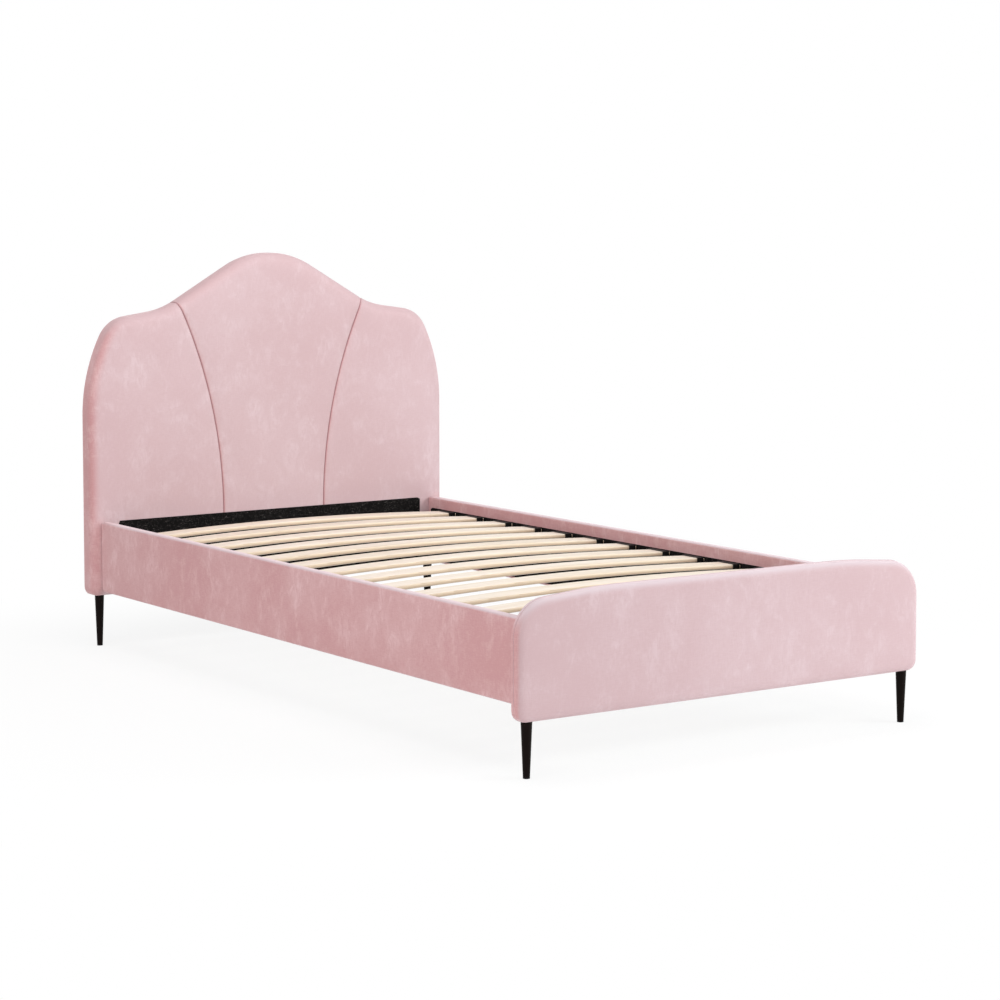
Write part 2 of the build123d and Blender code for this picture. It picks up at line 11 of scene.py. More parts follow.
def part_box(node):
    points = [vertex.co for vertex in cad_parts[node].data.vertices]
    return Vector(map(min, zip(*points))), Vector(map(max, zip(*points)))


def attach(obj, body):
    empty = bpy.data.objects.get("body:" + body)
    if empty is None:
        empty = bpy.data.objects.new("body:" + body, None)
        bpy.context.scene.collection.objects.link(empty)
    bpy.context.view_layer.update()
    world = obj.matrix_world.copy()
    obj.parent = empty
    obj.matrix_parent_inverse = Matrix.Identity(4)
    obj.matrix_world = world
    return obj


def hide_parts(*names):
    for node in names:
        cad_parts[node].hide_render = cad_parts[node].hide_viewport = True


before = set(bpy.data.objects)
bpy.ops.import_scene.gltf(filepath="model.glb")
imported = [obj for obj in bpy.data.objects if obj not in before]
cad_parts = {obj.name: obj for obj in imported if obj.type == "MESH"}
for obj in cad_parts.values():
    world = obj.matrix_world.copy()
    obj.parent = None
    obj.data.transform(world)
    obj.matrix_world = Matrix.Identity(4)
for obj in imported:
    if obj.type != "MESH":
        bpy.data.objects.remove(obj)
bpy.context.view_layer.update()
scene = bpy.context.scene

# Sizes shared with the solids
HEAD_HALF, FOOT_HALF = 0.588, 0.591
HEAD_FRONT, HEAD_BACK = 1.0155, 1.0735
FOOT_FRONT, FOOT_BACK = -1.0735, -1.0395
RAIL_INNER, RAIL_OUTER = 0.536, 0.560
RAIL_LOW, RAIL_TOP = 0.157, 0.354
LINING_HALF = 0.505
HEAD_LINING_LOW, FOOT_LINING_LOW = 0.1475, 0.133
SEAM_X, SEAM_RADIUS = 0.1675, 1.394
BEAD_INSET, BEAD_RADIUS, BEAD_LOW = 0.012, 0.0015, 0.153
BEAD_Y = FOOT_BACK - BEAD_INSET
SLAT_THICKNESS, SLAT_CROWN, SLAT_PLIES = 0.012, 0.015, 7

# Upholstery: how far an edge rolls in from the outline and back from the face
HEAD_ROLL = (0.034, 0.022)
FOOT_ROLL = (0.021, 0.014)
FOOT_INSIDE_ROLL = (0.007, 0.006)
RAIL_ROLL = (0.007, 0.006)
CLOTH_ROLL = (0.0008, 0.0006)

# Radius of the roll at the back of a cover, and the share of it along the headboard's bottom edge
HEAD_BACK_ROLL, FOOT_BACK_ROLL, RAIL_BACK_ROLL, CLOTH_BACK_ROLL = 0.008, 0.0012, 0.005, 0.0004
FLAT_BASE = 0.12

# A sewn seam: depth of its dip, reach of the dip to each side, width of its painted shade line, power of the
# dip's curve
SEAM_DIP, SEAM_REACH, SEAM_SHADE_WIDTH, SEAM_SHARPNESS = 0.0034, 0.0048, 0.0018, 1.6

# Rows of points beside a seam, as shares of its reach
SEAM_ROWS = (0.25, 0.55, 1.0)

# The headboard's covers end this far short of the dust cloth's face, and the rails' this far from the boards
BACK_GAP, RAIL_GAP = 0.0006, 0.0002


def srgb(red, green, blue):
    """Linear colour with alpha from values of 0 to 255."""
    parts = [c / 255 for c in (red, green, blue)]
    return tuple(c / 12.92 if c <= 0.04045 else ((c + 0.055) / 1.055) ** 2.4 for c in parts) + (1.0,)


# Shader trees


def put(tree, kind, values=None, **settings):
    """Add a node, set its properties, then set or link its inputs by name or index."""
    node = tree.nodes.new(kind)
    for name, value in settings.items():
        setattr(node, name, value)
    for key, value in (values or {}).items():
        if isinstance(value, bpy.types.NodeSocket):
            tree.links.new(value, node.inputs[key])
        else:
            node.inputs[key].default_value = value
    return node


def maths(tree, operation, a, b=0.0, c=0.0, clamp=False):
    """Result of one sum on values or sockets."""
    return put(tree, "ShaderNodeMath", {0: a, 1: b, 2: c}, operation=operation, use_clamp=clamp).outputs[0]


def between(tree, value, low, high):
    """0 at low, 1 at high, smooth in between; high may be the smaller of the two."""
    limits = {"Value": value, "From Min": low, "From Max": high}
    return put(tree, "ShaderNodeMapRange", limits, interpolation_type="SMOOTHSTEP").outputs["Result"]


def mixed(tree, share, first, second):
    """A colour between two others."""
    return put(tree, "ShaderNodeMix", {0: share, 6: first, 7: second}, data_type="RGBA").outputs[2]


def grain(tree, place, scale, stretch=(1, 1, 1), turn=(0, 0, 0), detail=4.0, rough=0.55, warp=0.0):
    """Noise on a stretched and turned copy of the place."""
    mapping = put(tree, "ShaderNodeMapping", {"Vector": place, "Scale": stretch, "Rotation": turn})
    values = {
        "Vector": mapping.outputs[0], "Scale": scale,
        "Detail": detail, "Roughness": rough, "Distortion": warp,
    }
    return put(tree, "ShaderNodeTexNoise", values).outputs["Fac"]


def new_group(name, inputs, outputs):
    """A shader group with named sockets; returns the tree and its input and output nodes."""
    tree = bpy.data.node_groups.new(name, "ShaderNodeTree")
    for label, kind, default in inputs:
        socket = tree.interface.new_socket(label, in_out="INPUT", socket_type=kind)
        socket.default_value = default
    for label, kind in outputs:
        tree.interface.new_socket(label, in_out="OUTPUT", socket_type=kind)
    return tree, tree.nodes.new("NodeGroupInput"), tree.nodes.new("NodeGroupOutput")


COLOUR, FLOAT = "NodeSocketColor", "NodeSocketFloat"


def nap_group():
    """Velvet pile: patches brushed the other way, threads, lint, and painted shade along the seams.

    Painted shade deepens faces turned sideways, the headboard's left edge and its strip beside the rails.
    Upward faces get a painted sheen on the footboard and rails, and painted shade on the headboard."""
    tree, given, made = new_group(
        "velvet_nap",
        [
            ("Lying", COLOUR, srgb(201, 171, 174)),
            ("Brushed", COLOUR, srgb(223, 204, 208)),
            ("Side Shade Lying", COLOUR, srgb(200, 150, 151)),
            ("Side Shade Brushed", COLOUR, srgb(240, 214, 215)),
            ("Low Top Sheen", COLOUR, srgb(205, 190, 195)),
            ("High Top Shade", COLOUR, srgb(188, 160, 163)),
            ("Seam Shade Colour", COLOUR, srgb(168, 126, 130)),
            ("Patch Scale", FLOAT, 15.0),
            ("Patch Strength", FLOAT, 0.62),
        ],
        [("Color", COLOUR), ("Height", FLOAT)],
    )
    patch_edge, stroke_edge, broad_edge, lint_edge = (0.42, 0.7), (0.3, 0.7), (0.3, 0.7), (0.79, 0.84)
    patch_share, broad_share, thread_share, lint_share, painted_top_share = 0.6, 0.3, 0.6, 0.4, 0.8
    side_shade_edge, left_head_shade_shift, upward_edge, relief_share = (0.5, 0.98), (-0.45, -0.28), (0.1, 0.75), 0.5
    head_y, left_facing, outer_x, below_z = (0.9, 1.0), (0.0, -0.05), (0.54, 0.57), (0.38, 0.33)
    place = put(tree, "ShaderNodeTexCoord").outputs["Object"]
    cloud = grain(tree, place, given.outputs["Patch Scale"], (1, 1, 0.8), detail=6.0, rough=0.62, warp=0.6)
    strokes = grain(tree, place, 75.0, (1, 1, 0.45), turn=(0.0, 0.6, 0.0), rough=0.6, warp=1.0)
    patch = maths(tree, "MULTIPLY", between(tree, cloud, *patch_edge), between(tree, strokes, *stroke_edge))
    broad = between(tree, grain(tree, place, 3.0, detail=2.0), *broad_edge)
    lift = maths(tree, "MULTIPLY_ADD", broad, broad_share, maths(tree, "MULTIPLY", patch, patch_share))
    up = grain(tree, place, 1.0, (520, 520, 70), detail=2.0)
    across = grain(tree, place, 1.0, (70, 70, 520), detail=2.0)
    threads = maths(tree, "SUBTRACT", maths(tree, "ADD", up, across), 1.0)
    lift = maths(tree, "MULTIPLY_ADD", threads, thread_share, lift)
    lint = between(tree, grain(tree, place, 150.0, detail=1.0), *lint_edge)
    lift = maths(tree, "MULTIPLY_ADD", lint, lint_share, lift)
    share = maths(tree, "MULTIPLY", lift, given.outputs["Patch Strength"], clamp=True)
    facing = put(tree, "ShaderNodeSeparateXYZ", {0: put(tree, "ShaderNodeNewGeometry").outputs["Normal"]})
    spot = put(tree, "ShaderNodeSeparateXYZ", {0: place})
    on_head = between(tree, spot.outputs[1], *head_y)
    # Painted shade round the headboard's left edge: its left-facing faces take the side tones from flatter
    # turns.
    left_head_shade = maths(tree, "MULTIPLY", on_head, between(tree, facing.outputs[0], *left_facing))
    limits = [maths(tree, "MULTIPLY_ADD", left_head_shade, *pair) for pair in zip(left_head_shade_shift, side_shade_edge)]
    # Painted shade: faces turned sideways take the deeper side tones.
    side = between(tree, maths(tree, "ABSOLUTE", facing.outputs[0]), *limits)
    # Painted shade on the headboard's outer strips, below the tops of the rails.
    outer = between(tree, maths(tree, "ABSOLUTE", spot.outputs[0]), *outer_x)
    rail_side_shade = maths(tree, "MULTIPLY", outer, between(tree, spot.outputs[2], *below_z))
    side = maths(tree, "MAXIMUM", side, maths(tree, "MULTIPLY", rail_side_shade, on_head))
    lying = mixed(tree, side, given.outputs["Lying"], given.outputs["Side Shade Lying"])
    brushed = mixed(tree, side, given.outputs["Brushed"], given.outputs["Side Shade Brushed"])
    # Painted light on upward faces: a pale sheen on the footboard and rails, and a deeper shade on the
    # headboard.
    rim = mixed(tree, on_head, given.outputs["Low Top Sheen"], given.outputs["High Top Shade"])
    upward = maths(tree, "MULTIPLY", between(tree, facing.outputs[2], *upward_edge), painted_top_share)
    pile = mixed(tree, upward, mixed(tree, share, lying, brushed), rim)
    # Painted shade along the seams, from the seam_shade attribute of the covers.
    sewn = put(tree, "ShaderNodeAttribute", attribute_name="seam_shade").outputs["Fac"]
    tree.links.new(mixed(tree, sewn, pile, given.outputs["Seam Shade Colour"]), made.inputs["Color"])
    fibres = grain(tree, place, 900.0, detail=2.0)
    height = maths(tree, "ADD", maths(tree, "ADD", threads, fibres), strokes)
    tree.links.new(maths(tree, "MULTIPLY", height, relief_share), made.inputs["Height"])
    return tree


def weave_group():
    """Plain weave seen on an upright face: crossing threads, with slubs that run along each."""
    tree, given, made = new_group(
        "plain_weave",
        [
            ("Dark", COLOUR, srgb(11, 10, 10)),
            ("Light", COLOUR, srgb(96, 90, 88)),
            ("Threads", FLOAT, 620.0),
        ],
        [("Color", COLOUR), ("Height", FLOAT)],
    )
    place = put(tree, "ShaderNodeTexCoord").outputs["Object"]
    axes = put(tree, "ShaderNodeSeparateXYZ", {0: place})
    along = maths(tree, "ADD", axes.outputs[0], axes.outputs[1])
    turn = maths(tree, "MULTIPLY", given.outputs["Threads"], math.pi)
    warp = maths(tree, "SINE", maths(tree, "MULTIPLY", along, turn))
    weft = maths(tree, "SINE", maths(tree, "MULTIPLY", axes.outputs[2], turn))
    crossing = maths(tree, "MULTIPLY", warp, weft)
    slub_edge, crossing_share, fleck_height = (0.55, 0.78), 0.1, 0.8
    slub_up = grain(tree, place, 1.0, (420, 420, 110), detail=3.0, rough=0.7)
    slub_along = grain(tree, place, 1.0, (110, 110, 420), detail=3.0, rough=0.7)
    flecks = [between(tree, slub, *slub_edge) for slub in (slub_up, slub_along)]
    fleck = maths(tree, "MAXIMUM", *flecks)
    share = maths(tree, "ADD", fleck, maths(tree, "MULTIPLY", crossing, crossing_share), clamp=True)
    tree.links.new(mixed(tree, share, given.outputs["Dark"], given.outputs["Light"]), made.inputs["Color"])
    height = maths(tree, "ADD", crossing, maths(tree, "MULTIPLY", fleck, fleck_height))
    tree.links.new(height, made.inputs["Height"])
    return tree


def wood_group():
    """Straight grain along one axis, with pores and a slow drift of tone."""
    tree, given, made = new_group(
        "wood_grain",
        [
            ("Pale", COLOUR, srgb(228, 217, 204)),
            ("Deep", COLOUR, srgb(213, 197, 178)),
            ("Length Scale", FLOAT, 3.0),
            ("Cross Scale", FLOAT, 85.0),
        ],
        [("Color", COLOUR), ("Height", FLOAT), ("Lines", FLOAT)],
    )
    place = put(tree, "ShaderNodeTexCoord").outputs["Object"]
    cross, length = given.outputs["Cross Scale"], given.outputs["Length Scale"]
    sizes = put(tree, "ShaderNodeCombineXYZ", {0: length, 1: cross, 2: cross}).outputs[0]
    lying = put(tree, "ShaderNodeVectorMath", {0: place, 1: sizes}, operation="MULTIPLY").outputs[0]
    lines = grain(tree, lying, 1.0, detail=5.0, rough=0.6, warp=0.4)
    pores = grain(tree, lying, 4.0, (3, 1, 1), detail=2.0)
    drift = grain(tree, place, 1.7, (0.6, 4.0, 1.0), detail=1.0)
    tone_edge, pore_edge = (0.42, 0.85), (0.66, 0.74)
    line_share, drift_share, pore_share, pore_depth = 0.75, 0.45, 0.25, 0.6
    line_tone = maths(tree, "MULTIPLY", lines, line_share)
    tone = maths(tree, "ADD", line_tone, maths(tree, "MULTIPLY", drift, drift_share))
    pore = between(tree, pores, *pore_edge)
    deep = between(tree, tone, *tone_edge)
    share = maths(tree, "ADD", deep, maths(tree, "MULTIPLY", pore, pore_share), clamp=True)
    tree.links.new(mixed(tree, share, given.outputs["Pale"], given.outputs["Deep"]), made.inputs["Color"])
    height = maths(tree, "SUBTRACT", lines, maths(tree, "MULTIPLY", pore, pore_depth))
    tree.links.new(height, made.inputs["Height"])
    tree.links.new(lines, made.inputs["Lines"])
    return tree


def coat_group():
    """Coated, plated or moulded skin: orange peel and faint scuffs, for colour, roughness and height."""
    tree, given, made = new_group(
        "fine_coat",
        [
            ("Body", COLOUR, srgb(18, 11, 9)),
            ("Scuffed", COLOUR, srgb(28, 20, 18)),
            ("Peel Scale", FLOAT, 900.0),
            ("Roughness Low", FLOAT, 0.38),
            ("Roughness High", FLOAT, 0.6),
        ],
        [("Color", COLOUR), ("Roughness", FLOAT), ("Height", FLOAT)],
    )
    place = put(tree, "ShaderNodeTexCoord").outputs["Object"]
    peel = grain(tree, place, given.outputs["Peel Scale"], detail=2.0)
    scuff_edge, scuff_share, scuff_wear, peel_wear = (0.58, 0.76), 0.5, 0.6, 0.5
    scuff = between(tree, grain(tree, place, 60.0, (1, 1, 0.3), detail=6.0, rough=0.7), *scuff_edge)
    paler = maths(tree, "MULTIPLY", scuff, scuff_share)
    worn = mixed(tree, paler, given.outputs["Body"], given.outputs["Scuffed"])
    tree.links.new(worn, made.inputs["Color"])
    smooth, dull = given.outputs["Roughness Low"], given.outputs["Roughness High"]
    span = maths(tree, "SUBTRACT", dull, smooth)
    wear = maths(tree, "MULTIPLY_ADD", scuff, scuff_wear, maths(tree, "MULTIPLY", peel, peel_wear))
    tree.links.new(maths(tree, "MULTIPLY_ADD", span, wear, smooth), made.inputs["Roughness"])
    tree.links.new(peel, made.inputs["Height"])
    return tree


NAP, WEAVE, WOOD, COAT = nap_group(), weave_group(), wood_group(), coat_group()


def finish_of(name, group, values, bump, depth, **sockets):
    """A material with colour, height and perhaps roughness from a group; the rest is set on the shader."""
    material = bpy.data.materials.new(name)
    material.use_nodes = True
    tree = material.node_tree
    shader = tree.nodes["Principled BSDF"]
    for label, value in sockets.items():
        shader.inputs[label.replace("_", " ")].default_value = value
    node = tree.nodes.new("ShaderNodeGroup")
    node.node_tree = group
    for label, value in values.items():
        node.inputs[label].default_value = value
    tree.links.new(node.outputs["Color"], shader.inputs["Base Color"])
    if "Roughness" in node.outputs:
        tree.links.new(node.outputs["Roughness"], shader.inputs["Roughness"])
    relief = {"Strength": bump, "Distance": depth, "Height": node.outputs["Height"]}
    tree.links.new(put(tree, "ShaderNodeBump", relief).outputs[0], shader.inputs["Normal"])
    return material


VELVET = finish_of(
    "pink_velvet", NAP, {}, bump=0.35, depth=0.0006,
    Roughness=0.85, Specular_IOR_Level=0.15,
    Sheen_Weight=0.55, Sheen_Roughness=0.45, Sheen_Tint=srgb(250, 228, 230),
)
LINING = finish_of(
    "black_woven_lining", WEAVE, {"Threads": 620.0}, bump=0.6, depth=0.0005,
    Roughness=0.95, Specular_IOR_Level=0.06,
)
DUST_CLOTH = finish_of(
    "black_dust_cloth", WEAVE, {"Dark": srgb(30, 29, 30), "Light": srgb(56, 54, 54), "Threads": 380.0},
    bump=0.4, depth=0.0004,
    Roughness=0.95, Specular_IOR_Level=0.15,
)
PLYWOOD = finish_of(
    "plywood", WOOD, {"Pale": srgb(222, 190, 150), "Deep": srgb(180, 140, 100), "Cross Scale": 30.0},
    bump=0.3, depth=0.0004,
    Roughness=0.75,
)
PINE = finish_of(
    "pine", WOOD, {"Pale": srgb(228, 194, 142), "Deep": srgb(186, 138, 86), "Cross Scale": 45.0},
    bump=0.3, depth=0.0004,
    Roughness=0.7,
)
LEDGER = finish_of(
    "black_stained_ledger", WOOD,
    {"Pale": srgb(24, 22, 21), "Deep": srgb(13, 12, 12), "Cross Scale": 120.0},
    bump=0.3, depth=0.0003,
    Roughness=0.7, Specular_IOR_Level=0.3,
)
POWDER_COAT = finish_of(
    "black_powder_coat", COAT, {}, bump=0.25, depth=0.0002,
    Specular_IOR_Level=0.06,
)


def coat_values(body, scuffed, peel, smooth, dull):
    """Inputs of the coat group for one skin."""
    return {
        "Body": srgb(*body), "Scuffed": srgb(*scuffed), "Peel Scale": peel,
        "Roughness Low": smooth, "Roughness High": dull,
    }


HOLDER_PLASTIC = finish_of(
    "black_moulded_plastic", COAT, coat_values((11, 10, 10), (26, 25, 25), 500.0, 0.55, 0.8),
    bump=0.3, depth=0.0002,
    Specular_IOR_Level=0.25,
)
BLACK_ZINC = finish_of(
    "black_zinc", COAT, coat_values((70, 70, 72), (130, 130, 132), 1500.0, 0.3, 0.5),
    bump=0.1, depth=0.0001,
    Metallic=1.0,
)
ZINC = finish_of(
    "bright_zinc", COAT, coat_values((190, 190, 186), (150, 150, 148), 1500.0, 0.25, 0.45),
    bump=0.1, depth=0.0001,
    Metallic=1.0,
)


def birch_material():
    """Lacquered birch: pale faces, and a tan edge with the plies as thin lines that follow the bow."""
    edge_turn, ply_line, lower_edge_shade = (0.97, 0.3), (-0.4, 0.9), (0.75, 0.1)
    material = finish_of(
        "birch_slat", WOOD, {}, bump=0.2, depth=0.0002,
        Roughness=0.5, Specular_IOR_Level=0.35, Coat_Weight=0.08, Coat_Roughness=0.35,
    )
    tree = material.node_tree
    shader = tree.nodes["Principled BSDF"]
    low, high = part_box("slat_01")
    half = (high.x - low.x) / 2
    radius = (half**2 + SLAT_CROWN**2) / (2 * SLAT_CROWN)
    place = put(tree, "ShaderNodeTexCoord").outputs["Object"]
    axes = put(tree, "ShaderNodeSeparateXYZ", {0: place})
    rise = maths(tree, "SUBTRACT", axes.outputs[2], high.z - SLAT_THICKNESS - radius)
    across = maths(tree, "POWER", axes.outputs[0], 2.0)
    reach = maths(tree, "SQRT", maths(tree, "MULTIPLY_ADD", rise, rise, across))
    level = maths(tree, "DIVIDE", maths(tree, "SUBTRACT", reach, radius), SLAT_THICKNESS)
    ply = maths(tree, "SINE", maths(tree, "MULTIPLY", level, SLAT_PLIES * 2 * math.pi))
    facing = put(tree, "ShaderNodeSeparateXYZ", {0: put(tree, "ShaderNodeNewGeometry").outputs["Normal"]})
    edge = between(tree, maths(tree, "ABSOLUTE", facing.outputs[2]), *edge_turn)
    plain = shader.inputs["Base Color"].links[0].from_socket
    banded = mixed(tree, between(tree, ply, *ply_line), srgb(236, 216, 192), srgb(224, 200, 172))
    # Painted shade: the slat's edge turns deeper tan towards its lower side.
    banded = mixed(tree, between(tree, level, *lower_edge_shade), banded, srgb(206, 176, 146))
    tree.links.new(mixed(tree, edge, plain, banded), shader.inputs["Base Color"])
    return material


BIRCH = birch_material()


# Outlines, as points in the plane of a board: across, then up


ARC_STEP, TANGENT_STEP = 0.004, 0.002
FAR, TINY, CHUNK = 1e9, 1e-18, 2000


def rounded_outline(corners, radii):
    """Counter-clockwise closed outline with an arc at every corner."""
    points = []
    for i, radius in enumerate(radii):
        here, before, after = (np.array(corners[(i + k) % len(corners)]) for k in (0, -1, 1))
        back = (before - here) / np.linalg.norm(before - here)
        on = (after - here) / np.linalg.norm(after - here)
        half = math.acos(float(back @ on)) / 2
        centre = here + (back + on) / np.linalg.norm(back + on) * radius / math.sin(half)
        first, last = here + back * radius / math.tan(half), here + on * radius / math.tan(half)
        start = math.atan2(*(first - centre)[::-1])
        sweep = (math.atan2(*(last - centre)[::-1]) - start + math.pi) % (2 * math.pi) - math.pi
        angles = start + sweep * np.linspace(0, 1, max(3, int(abs(sweep) * radius / ARC_STEP) + 1))
        points.append(centre + radius * np.stack([np.cos(angles), np.sin(angles)], 1))
    return np.concatenate(points)


def symmetric(half_corners, half_radii):
    """The right half of an outline and its mirror image."""
    left = [((-x, z), r) for (x, z), r in zip(half_corners, half_radii) if x > 0][::-1]
    return half_corners + [c for c, _ in left], half_radii + [r for _, r in left]


HEADBOARD = rounded_outline(*symmetric(
    [(HEAD_HALF, 0.1435), (HEAD_HALF, 0.766), (0.5115, 0.920), (0.3393, 0.9445), (0.0, 1.141)],
    [0.024, 0.500, 0.098, 0.247, 0.266],
))
FOOTBOARD = rounded_outline(*symmetric(
    [(FOOT_HALF, 0.127), (FOOT_HALF, 0.3925), (0.365, 0.4115)],
    [0.026, 0.088, 1.500],
))


def measured(outline):
    """Distance along a closed outline at each of its points, and all the way round."""
    steps = np.linalg.norm(np.roll(outline, -1, 0) - outline, axis=1)
    return np.concatenate([[0.0], np.cumsum(steps)])


def walked(outline, stations):
    """Points of a closed outline at distances along it, and the unit vector into the board at each."""
    marks = measured(outline)
    closed = np.vstack([outline, outline[:1]])

    def at(distance):
        """Points at distances along the outline."""
        s = np.mod(distance, marks[-1])
        return np.stack([np.interp(s, marks, closed[:, k]) for k in (0, 1)], 1)

    stations = np.asarray(stations, float)
    along = at(stations + TANGENT_STEP) - at(stations - TANGENT_STEP)
    along /= np.linalg.norm(along, axis=1, keepdims=True)
    return at(stations), np.stack([-along[:, 1], along[:, 0]], 1)


def edge_distance(points, outline):
    """Shortest distance from each point to a closed outline."""
    a, b = outline, np.roll(outline, -1, 0)
    run = b - a
    square = np.maximum((run**2).sum(1), TINY)
    best = np.full(len(points), FAR)
    for start in range(0, len(points), CHUNK):
        p = points[start : start + CHUNK, None, :]
        t = np.clip(((p - a) * run).sum(2) / square, 0, 1)
        best[start : start + CHUNK] = np.linalg.norm(p - a - t[..., None] * run, axis=2).min(1)
    return best


def inside(points, loop):
    """Which points lie inside a polygon."""
    found = np.zeros(len(points), bool)
    a, b = loop, np.roll(loop, -1, 0)
    for (x0, z0), (x1, z1) in zip(a, b):
        if z0 != z1:
            crosses = (z0 > points[:, 1]) != (z1 > points[:, 1])
            found ^= crosses & (points[:, 0] < x0 + (points[:, 1] - z0) * (x1 - x0) / (z1 - z0))
    return found


def seam_distance(points):
    """Distance of points on the headboard from the nearer of its two seams."""
    x, z = np.abs(points[:, 0]), points[:, 1]
    curved = np.abs(np.hypot(x - SEAM_X - SEAM_RADIUS, z - RAIL_TOP) - SEAM_RADIUS)
    return np.where(z > RAIL_TOP, curved, np.abs(x - SEAM_X))


def dip(distance):
    """How deep the cover is drawn in beside a seam."""
    return SEAM_DIP * np.clip(1 - distance / SEAM_REACH, 0, 1) ** SEAM_SHARPNESS


def rolled(distance, roll):
    """Depth of a padded face behind its front plane near its edge, as a quarter of an ellipse."""
    short = np.clip(1 - distance / roll[0], 0, 1)
    return roll[1] * (1 - np.sqrt(1 - short**2))


# Turns at which a face's roll and a back's roll get a row of points
RING_TURNS = np.radians([13, 27, 41, 54, 66, 78, 90])
BACK_TURNS = np.radians([0, 22, 45, 68, 90])

# Room that points of a face keep from its edge, its seams and each other
RING_SLACK, RIM_CLEAR, MERGE_REACH = 0.0003, 0.0012, 1e-7
SEAM_CLEAR, ROW_SLACK = 1.4, 0.3
GRID_FROM_EDGE, GRID_FROM_SEAM = 0.35, 0.4

# Where a face stays put while it swells: share of the roll, and height above the rails
HELD_EDGE, HELD_ABOVE_RAIL = 0.8, 0.02

# Height that parts a seam's upper end from its lower end
SEAM_MIDDLE = 0.5


def unsewn(points):
    """Distance from a seam on a cover that has none."""
    return np.full(len(points), np.inf)


def new_piece(name, points, edges, faces):
    """An object at the origin, placed by the points of its mesh."""
    mesh = bpy.data.meshes.new(name)
    mesh.from_pydata(points, edges, faces)
    piece = bpy.data.objects.new(name, mesh)
    scene.collection.objects.link(piece)
    return piece


def face_points(outline, loop, into, free_edge, roll, seam_gap, spacing):
    """Points of a padded face: its rim, rings along the roll, rows beside a seam, then a grid."""
    kept = [loop]
    for turn in RING_TURNS:
        ring = loop[free_edge] + into[free_edge] * roll[0] * (1 - math.cos(turn))
        good = edge_distance(ring, outline) > roll[0] * (1 - math.cos(turn)) - RING_SLACK
        good &= inside(ring, loop)
        good &= seam_gap(ring) > SEAM_REACH * SEAM_CLEAR
        kept.append(ring[good])
    seam = loop[~free_edge]
    for side in (-1, 1):
        for share in SEAM_ROWS:
            row = seam + np.array([[side * share * SEAM_REACH, 0.0]])
            good = inside(row, loop) & (edge_distance(row, outline) > RIM_CLEAR)
            good &= np.abs(seam_gap(row) - share * SEAM_REACH) < ROW_SLACK * SEAM_REACH
            kept.append(row[good])
    low, high = loop.min(0), loop.max(0)
    across = np.arange(low[0] + spacing / 2, high[0], spacing)
    up = np.arange(low[1] + spacing / 2, high[1], spacing)
    grid = np.stack(np.meshgrid(across, up), -1).reshape(-1, 2)
    grid = grid[inside(grid, loop)]
    grid = grid[edge_distance(grid, outline) > roll[0] + GRID_FROM_EDGE * spacing]
    grid = grid[seam_gap(grid) > SEAM_REACH + GRID_FROM_SEAM * spacing]
    return np.vstack([*kept, grid])


def padded_cover(name, outline, loop, into, roll, depth, back_roll, place, seam_gap=unsewn, spacing=0.016):
    """A closed padded form: a face rolled at its edge, a wall and a rolled back.

    loop is the counter-clockwise rim of this piece and into the unit vector inwards at each of its
    points, zero along a seam. back_roll is one radius or one for each of those points, place turns
    across, up and depth into a point of the bed, and seam_gap gives the distance from a seam. Returns
    the piece and which of its points stay put when its face swells."""
    count = len(loop)
    sewn = seam_gap is not unsewn
    free_edge = into.any(axis=1)
    rim = loop.copy()
    rim[free_edge] += into[free_edge] * dip(seam_gap(loop[free_edge]))[:, None]
    flat = face_points(outline, loop, into, free_edge, roll, seam_gap, spacing)
    edges = [(i, (i + 1) % count) for i in range(count)]
    spread = delaunay_2d_cdt([Vector(p) for p in flat], edges, [], 1, MERGE_REACH)
    corners, faces, source = spread[0], [tuple(f) for f in spread[2]], spread[3]
    flat = np.array([tuple(c) for c in corners])
    rank = {origin: new for new, origins in enumerate(source) for origin in origins}
    order = [rank[i] for i in range(count)]
    depths = rolled(edge_distance(flat, outline), roll) + dip(seam_gap(flat))
    flat[order] = rim
    points = [place(x, z, d) for (x, z), d in zip(flat, depths)]
    clear = edge_distance(loop, outline)
    seam_way = np.zeros_like(loop)
    if sewn:
        seam_way[:, 1] = np.where(loop[:, 1] > SEAM_MIDDLE, -1.0, 1.0)
    above = order
    back_roll = np.broadcast_to(back_roll, count)
    for turn in BACK_TURNS:
        inset = back_roll * (1 - math.cos(turn))
        backs = depth - back_roll * (1 - math.sin(turn))
        beside = np.clip(inset - clear, 0, None) * ~free_edge
        row = rim + into * inset[:, None] + seam_way * beside[:, None]
        below = list(range(len(points), len(points) + count))
        points += [place(x, z, back) for (x, z), back in zip(row, backs)]
        faces += [(above[i], below[i], below[j], above[j]) for i, j in edges]
        above = below
    faces.append(tuple(reversed(above)))
    piece = new_piece(name, points, [], faces)
    mesh = piece.data
    mesh.polygons.foreach_set("use_smooth", [True] * len(mesh.polygons))
    mesh.polygons[len(mesh.polygons) - 1].use_smooth = False
    held = np.ones(len(points), bool)
    held[: len(flat)] = edge_distance(flat, outline) < roll[0] * HELD_EDGE
    if sewn:
        held[: len(flat)] |= (seam_gap(flat) < SEAM_REACH) | (flat[:, 1] < RAIL_TOP + HELD_ABOVE_RAIL)
        # Painted shade along the seams: a dark line on the face and walls, none on the rolled back.
        lines = np.concatenate([seam_gap(flat), np.tile(seam_gap(rim), len(BACK_TURNS))])
        line_tone = np.exp(-((lines / SEAM_SHADE_WIDTH) ** 2))
        line_tone[-count:] = 0.0
        shade = mesh.attributes.new("seam_shade", "FLOAT", "POINT")
        shade.data.foreach_set("value", line_tone.astype(np.float32))
    return piece, held


